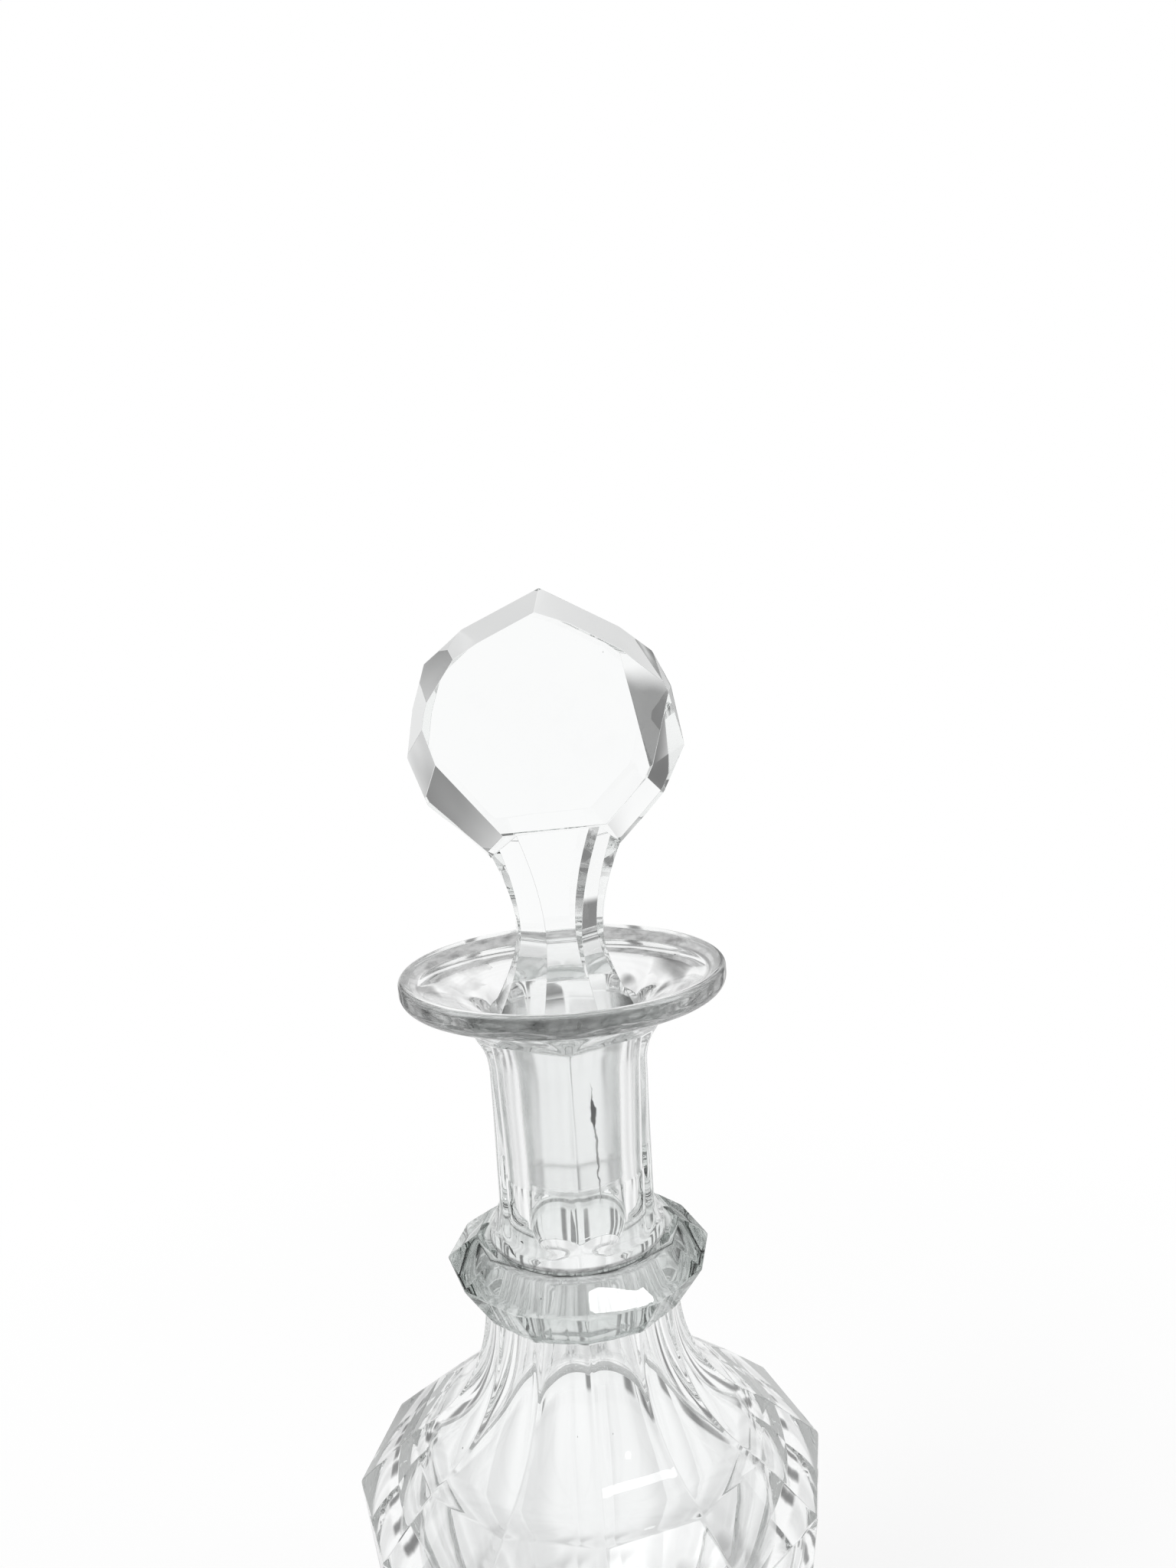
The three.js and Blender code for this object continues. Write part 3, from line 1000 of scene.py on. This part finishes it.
@dataclass
class Stopper:
    """The solid stopper: ground plug, cut stem and bevelled disc. Sizes are in millimetres."""

    turn: float = 7.5
    plug_columns: int = 96
    plug_end: float = 168.1
    plug_end_radius: float = 11.6
    plug_chamfer: float = 0.8
    plug_top: float = 200.1
    plug_top_radius: float = 13.0
    collar_radius: float = 15.8
    collar_edge: float = 0.8
    collar_top: float = 204.6
    stem_foot_apothem: float = 14.4
    stem_foot: float = 204.2
    waist_apothem: float = 8.9
    waist_level: float = 220.6
    waist_bend: float = 6.2
    waist_run: float = 9.8
    stem_face: float = 8.9
    stem_corner: float = 12.4
    stem_side: float = 16.2
    stem_inside: float = 4.0
    stem_rows: int = 14
    stem_sides: int = 8
    disc_bottom: float = 243.6
    disc_height: float = 48.6
    disc_thickness: float = 18.6
    disc_bevel_width: float = 4.0
    disc_bevel_depth: float = 7.4
    disc_front_bevel: float = 2.2
    disc_right: tuple[Pair, ...] = (
        (13.3, -5.6),
        (19.8, 0.8),
        (23.8, 5.2),
        (28.5, 14.5),
        (26.2, 27.2),
        (22.6, 34.6),
        (16.0, 39.9),
    )
    disc_left: tuple[Pair, ...] = (
        (13.5, -6.0),
        (19.4, 0.2),
        (25.5, 5.8),
        (29.0, 15.9),
        (27.2, 25.7),
        (24.2, 34.6),
        (16.1, 41.2),
    )
    disc_middle: float = 20.0
    facets: tuple[Facet, ...] = (
        Facet(69.5, 21.5, 26.6, -1),
        Facet(60.4, 20.8, 25.1, -1),
        Facet(49.7, 21.4, 25.5, -1),
        Facet(-15.5, 21.6, 28.6, -1),
        Facet(-26.4, 21.7, 27.7, -1),
        Facet(-44.5, 21.0, 27.3, -1),
        Facet(-88.0, 20.0, 25.4, -1),
        Facet(218.8, 21.5, 28.3, -1),
        Facet(196.3, 24.0, 28.6, -1),
        Facet(144.6, 24.1, 27.1, -1),
        Facet(120.0, 22.7, 26.2, -1),
        Facet(115.0, 22.4, 25.8, -1),
        Facet(12.0, 19.1, 26.9, 1),
    )
    edge_width: float = 0.3
    sharp_angle: float = 12.0
    glass: CutGlass = CutGlass("stopper_glass", 8.0, smear=0.02)

    def plug(self) -> Mesh:
        """Turns the plug and collar.

        Returns:
            The closed mesh.
        """
        section = Section().to(0.0, self.plug_end)
        section.to(self.plug_end_radius - self.plug_chamfer, self.plug_end)
        section.to(self.plug_end_radius, self.plug_end + self.plug_chamfer)
        section.straight(self.plug_top_radius, self.plug_top, 3)
        section.to(self.collar_radius, self.collar_top - self.collar_edge)
        section.to(self.collar_radius, self.collar_top)
        return section.to(0.0, self.collar_top).spun(self.plug_columns)

    def stem_reach(self, top: float) -> Section:
        """Draws one cut side of the stem as distance from the axis over height.

        Args:
            top: Distance from the axis where the side meets the disc.

        Returns:
            The side's line.
        """
        line = Section().to(self.stem_foot_apothem, self.stem_foot)
        waist, level = self.waist_apothem, self.waist_level
        line.curve([(waist, level - self.waist_bend), (waist, level)], self.stem_rows)
        line.curve([(waist, level + self.waist_run), (top, self.disc_bottom)], self.stem_rows)
        return line.to(top, self.disc_bottom + self.stem_inside)

    def stem(self) -> Mesh:
        """Lofts the eight-sided stem, with each corner where two neighbouring sides meet.

        Returns:
            The closed mesh.
        """
        reaches = [self.stem_reach(top).points for top in (self.stem_face, self.stem_corner, self.stem_side)]
        column = Section([(1.0, height, Zone.PANEL) for _, height, _ in reaches[0]])
        column.points.insert(0, (0.0, self.stem_foot, Zone.ROUND))
        column.to(0.0, self.disc_bottom + self.stem_inside)
        blank = column.spun(self.stem_sides)
        layer = blank.verts.layers.int["zone"]
        rows = {round(height, 4): row for row, (_, height, _) in enumerate(reaches[0])}
        side = math.tau / self.stem_sides
        turns = (2, 1, 0, 1)  # Going round from the right: side, corner, face and corner again.
        for vert in blank.verts:
            if vert[layer] != Zone.PANEL:
                continue
            row = rows[round(vert.co.z, 4)]
            index = round(math.atan2(vert.co.y, vert.co.x) / side)
            first = reaches[turns[index % len(turns)]][row][0]
            second = reaches[turns[(index + 1) % len(turns)]][row][0]
            shift = (second - first * math.cos(side)) / math.sin(side)
            normal = Vector((math.cos(index * side), math.sin(index * side)))
            spot = normal * first + Vector((-normal.y, normal.x)) * shift
            vert.co.x, vert.co.y = spot
        return blank

    def disc(self) -> Mesh:
        """Extrudes the disc's outline, insets both faces to their bevels and cuts the facets.

        Returns:
            The closed mesh.
        """
        girdle = self.disc_thickness - 2 * self.disc_bevel_depth
        slab = bmesh.new()
        right = [(x, z) for x, z in self.disc_right]
        left = [(-x, z) for x, z in reversed(self.disc_left)]
        ring = right + [(0.0, self.disc_height)] + left
        verts = [slab.verts.new((x, -girdle / 2, self.disc_bottom + z)) for x, z in ring]
        front = slab.faces.new(verts)
        grown = bmesh.ops.extrude_face_region(slab, geom=[front], use_keep_orig=True)["geom"]
        far = [item for item in grown if isinstance(item, bmesh.types.BMVert)]
        bmesh.ops.translate(slab, verts=far, vec=(0.0, girdle, 0.0))
        bmesh.ops.recalc_face_normals(slab, faces=slab.faces[:])
        for side, width in ((-1, self.disc_front_bevel), (1, self.disc_bevel_width)):
            bmesh.ops.inset_individual(
                slab,
                faces=[face for face in slab.faces if face.normal.y * side > FACING],
                thickness=width,
                depth=self.disc_bevel_depth,
                use_even_offset=True,
            )
        for facet in self.facets:
            self.cut_facet(slab, facet)
        bmesh.ops.recalc_face_normals(slab, faces=slab.faces[:])
        return slab

    def cut_facet(self, slab: Mesh, facet: Facet) -> None:
        """Cuts one facet and closes the cut.

        Args:
            slab: The bevelled disc.
            facet: The facet.
        """
        heading = math.radians(facet.heading)
        along = Vector((math.cos(heading), 0.0, math.sin(heading)))
        middle = Vector((0.0, 0.0, self.disc_bottom + self.disc_middle))
        face = Vector((0.0, facet.side * self.disc_thickness / 2, 0.0))
        width = facet.outer - facet.inner
        normal = along * self.disc_bevel_depth + Vector((0.0, facet.side * width, 0.0))
        cut = bmesh.ops.bisect_plane(
            slab,
            geom=slab.verts[:] + slab.edges[:] + slab.faces[:],
            plane_co=middle + face + along * facet.inner,
            plane_no=normal.normalized(),
            clear_outer=True,
        )["geom_cut"]
        rim = [item for item in cut if isinstance(item, bmesh.types.BMEdge)]
        bmesh.ops.contextual_create(slab, geom=rim)

    def build(self) -> bpy.types.Object:
        """Joins plug, stem and disc and softens the cut edges.

        Returns:
            The stopper.
        """
        body = joined([self.disc(), self.stem(), self.plug()])
        limit = math.radians(self.sharp_angle)
        edges = [edge for edge in body.edges if edge.is_manifold and edge.calc_face_angle() > limit]
        soften(body, edges, self.edge_width, 2)
        bmesh.ops.recalc_face_normals(body, faces=body.faces[:])
        piece = placed(body, "decanter_stopper", self.turn)
        shade_facets(piece)
        return piece

    def dress(self, piece: bpy.types.Object) -> None:
        """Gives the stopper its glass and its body."""
        piece.data.materials.append(self.glass.material())
        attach(piece, Body.STOPPER.value)
        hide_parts("stopper")


@dataclass(frozen=True)
class Window:
    """A small bright window overhead that one facet mirrors. Sizes are in metres.

    Attributes:
        name: Name of the window.
        piece: Name of the only piece that it lights.
        spot: Place of the window.
        size: Width and depth of the window.
        power: Power of its light, in watts.
    """

    name: str
    piece: str
    spot: Triple
    size: Pair
    power: float

    def build(self) -> None:
        """Hangs the window, facing down, and screens it off from the other pieces."""
        data = bpy.data.lights.new(self.name, "AREA")
        data.shape = "ELLIPSE"
        data.size, data.size_y = self.size
        data.energy = self.power
        window = linked(self.name, data)
        window.location = self.spot
        lit = bpy.data.collections.new(self.name)
        lit.objects.link(bpy.data.objects[self.piece])
        window.light_linking.receiver_collection = lit


@dataclass
class Studio:
    """White table and backdrop with a few dark gaps, soft lamps and the camera. Sizes are in metres."""

    floor_size: float = 6.0
    floor_glow: float = 0.8
    table_tone: float = 0.85
    soft_level: float = 0.75
    gap_count: int = 8
    near_depth: float = 0.22
    far_depth: float = 0.8
    near_gap: float = 19.0
    far_gap: float = 7.5
    far_shift: float = 8.0
    side_gaps: tuple[Pair, ...] = ((54.5, 6.5), (134.0, 8.0))
    screen: Triple = (120.0, 7.0, 10.0)
    screen_reach: Pair = (1.4, 1.7)
    screen_height: Pair = (0.04, 0.08)
    far_reach: Pair = (0.3, 0.6)
    glow_reach: Pair = (0.12, 0.45)
    foot_reach: Pair = (0.042, 0.05)
    foot_shade: float = 0.45
    patch_reach: Pair = (0.06, 0.085)
    patch_range: Pair = (0.36, 0.62)
    patch_shade: float = 0.6
    patch_size: float = 0.022
    ceiling_start: float = 0.5
    ceiling_full: float = 0.85
    ceiling_depth: float = 0.35
    windows: tuple[Window, ...] = (
        Window("ring_window", "decanter_neck_ring", (0.37, -0.28, 1.05), (0.2, 0.07), 0.42),
        Window("shoulder_window", "decanter_bottle", (0.44, -0.455, 0.915), (0.16, 0.12), 0.2),
    )
    lamps: tuple[tuple[str, Triple, float, float], ...] = (
        ("key_lamp", (-0.75, -0.55, 1.05), 0.6, 13.0),
        ("fill_lamp", (0.9, -0.3, 0.8), 0.5, 6.0),
    )
    lamp_aim: float = 0.15
    bounces: int = 32
    glossy_bounces: int = 16
    eye: Triple = (0.007845, -0.25365, 0.285925)
    pitch: float = 0.1355
    roll: float = 0.0588
    focal_pixels: float = 1603.7
    frame_pixels: float = 2048.0
    sensor: float = 36.0
    clip: Pair = (0.01, 20.0)

    def gaps(self, recipe: Recipe, place: Socket, width: float, shift: float) -> Signal:
        """Draws the narrow dark gaps between the white screens round the glass.

        Args:
            recipe: Recipe that the gaps are added to.
            place: Direction, or place on the table.
            width: Half width of a gap, in degrees.
            shift: Turn of all the gaps, in degrees.

        Returns:
            1 in the middle of a gap and 0 on a screen.
        """
        x, y, _ = recipe.split(place)
        heading = y.heading(x)
        swing = ((heading - math.radians(shift)) * float(self.gap_count)).cosine()
        dark = swing.ramp(-math.cos(math.radians(width * self.gap_count)), -1.0)
        for middle, half in self.side_gaps:
            dark = dark.most(heading.sector(middle, 0.0, half))
        return dark

    def beyond_screen(self, recipe: Recipe, place: Socket, shown: Signal) -> Signal:
        """Draws the narrow gaps farther off, where the white screen doesn't hide them.

        Args:
            recipe: Recipe that the gaps are added to.
            place: Direction, or place on the table.
            shown: How much of the screen stands there.

        Returns:
            1 in the middle of a gap and 0 on a screen.
        """
        x, y, _ = recipe.split(place)
        screen = y.heading(x).sector(*self.screen) * shown
        return self.gaps(recipe, place, self.far_gap, self.far_shift) * (1.0 - screen)

    def floor(self) -> bpy.types.Object:
        """Lays the table.

        Returns:
            The table.
        """
        sheet = bmesh.new()
        bmesh.ops.create_grid(sheet, x_segments=1, y_segments=1, size=self.floor_size / 2)
        data = bpy.data.meshes.new("table")
        sheet.to_mesh(data)
        sheet.free()
        table = linked("table", data)
        material = bpy.data.materials.new("table_white")
        material.use_nodes = True
        recipe = Recipe(material.node_tree)
        place = recipe.make("ShaderNodeTexCoord", {}, {}).outputs["Object"]
        reach = recipe.value("ShaderNodeVectorMath", "Value", {"operation": "LENGTH"}, {0: place})
        patches = recipe.noise(place, self.patch_size, 1.0, 4.0).ramp(*self.patch_range) * self.patch_shade
        beside = reach.ramp(*self.foot_reach) * reach.ramp(*self.patch_reach[::-1]) * patches
        under = (reach.ramp(*self.foot_reach[::-1]) * self.foot_shade).most(beside)
        near = self.gaps(recipe, place, self.near_gap, 0.0) * reach.ramp(*self.far_reach[::-1])
        gaps = self.beyond_screen(recipe, place, reach.ramp(*self.screen_reach))
        far = gaps * reach.ramp(*self.far_reach)
        shade = (near * self.near_depth).most(far * self.far_depth).most(under) * (1.0 - recipe.ray("Camera"))
        matt = recipe.make("ShaderNodeBsdfDiffuse", {}, {"Color": grey(self.table_tone)})
        glow = recipe.make("ShaderNodeEmission", {}, {"Color": 1.0 - shade, "Strength": 1.0})
        share = reach.ramp(*self.glow_reach) * (1.0 - self.floor_glow) + self.floor_glow
        sockets = {0: share * recipe.seen(), 1: matt.outputs[0], 2: glow.outputs[0]}
        mixed = recipe.make("ShaderNodeMixShader", {}, sockets)
        recipe.make("ShaderNodeOutputMaterial", {}, {"Surface": mixed.outputs[0]})
        data.materials.append(material)
        return table

    def sky(self) -> None:
        """Surrounds the glass with an even white backdrop that dims overhead."""
        world = bpy.data.worlds.new("backdrop")
        bpy.context.scene.world = world
        world.use_nodes = True
        recipe = Recipe(world.node_tree)
        place = recipe.make("ShaderNodeTexCoord", {}, {}).outputs["Generated"]
        _, _, height = recipe.split(place)
        gaps = self.beyond_screen(recipe, place, height.ramp(*self.screen_height[::-1]))
        ceiling = height.ramp(self.ceiling_start, self.ceiling_full) * self.ceiling_depth
        dim = 1.0 - ceiling.most(gaps * self.far_depth) * (1.0 - recipe.ray("Camera"))
        level = recipe.seen() * (1.0 - self.soft_level) + self.soft_level
        backdrop = recipe.make("ShaderNodeBackground", {}, {"Color": dim * level, "Strength": 1.0})
        recipe.make("ShaderNodeOutputWorld", {}, {"Surface": backdrop.outputs[0]})

    def lamp(self, name: str, spot: Triple, size: float, power: float) -> None:
        """Hangs a square soft lamp that faces the decanter and doesn't show in the glass.

        Args:
            name: Name of the lamp.
            spot: Place of the lamp.
            size: Side of the lamp.
            power: Power of the lamp, in watts.
        """
        data = bpy.data.lights.new(name, "AREA")
        data.size = size
        data.energy = power
        lamp = linked(name, data)
        lamp.visible_glossy = False
        lamp.visible_transmission = False
        aim = Vector((0.0, 0.0, self.lamp_aim)) - Vector(spot)
        lamp.matrix_world = Matrix.Translation(spot) @ aim.to_track_quat("-Z", "Y").to_matrix().to_4x4()

    def camera(self) -> None:
        """Sets the camera where the photograph was taken from."""
        data = bpy.data.cameras.new("camera")
        data.sensor_fit = "AUTO"
        data.sensor_width = self.sensor
        data.lens = data.sensor_width * self.focal_pixels / self.frame_pixels
        data.clip_start, data.clip_end = self.clip
        data.dof.use_dof = False
        camera = linked("camera", data)
        level = Vector((1.0, 0.0, 0.0))
        upright = Vector((0.0, math.sin(self.pitch), math.cos(self.pitch)))
        ahead = Vector((0.0, math.cos(self.pitch), -math.sin(self.pitch)))
        right = level * math.cos(self.roll) - upright * math.sin(self.roll)
        up = level * math.sin(self.roll) + upright * math.cos(self.roll)
        turn = Matrix((right, up, -ahead)).transposed().to_4x4()
        camera.matrix_world = Matrix.Translation(self.eye) @ turn
        bpy.context.scene.camera = camera

    def build(self) -> None:
        """Sets up the whole studio."""
        self.camera()
        self.floor()
        self.sky()
        for lamp in self.lamps:
            self.lamp(*lamp)
        scene = bpy.context.scene
        scene.view_settings.view_transform = "Standard"
        scene.cycles.max_bounces = self.bounces
        scene.cycles.transmission_bounces = self.bounces
        scene.cycles.glossy_bounces = self.glossy_bounces


def open_edges(piece: bpy.types.Object) -> int:
    """Counts the edges at which a piece isn't closed.

    Args:
        piece: The piece.

    Returns:
        The number of edges that don't join exactly two faces.
    """
    survey = bmesh.new()
    survey.from_mesh(piece.data)
    count = sum(1 for edge in survey.edges if not edge.is_manifold)
    survey.free()
    return count


def main() -> None:
    """Builds the decanter and its studio and reports each piece."""
    logging.basicConfig(level=logging.INFO, format="%(name)s: %(message)s")
    studio = Studio()
    studio.build()
    for maker in (Bottle(), NeckRing(), Stopper()):
        piece = maker.build()
        maker.dress(piece)
        triangles = sum(len(polygon.vertices) - 2 for polygon in piece.data.polygons)
        log.info("%s: %d triangles, %d open edges", piece.name, triangles, open_edges(piece))
    for window in studio.windows:
        window.build()


if __name__ == "__main__":
    main()
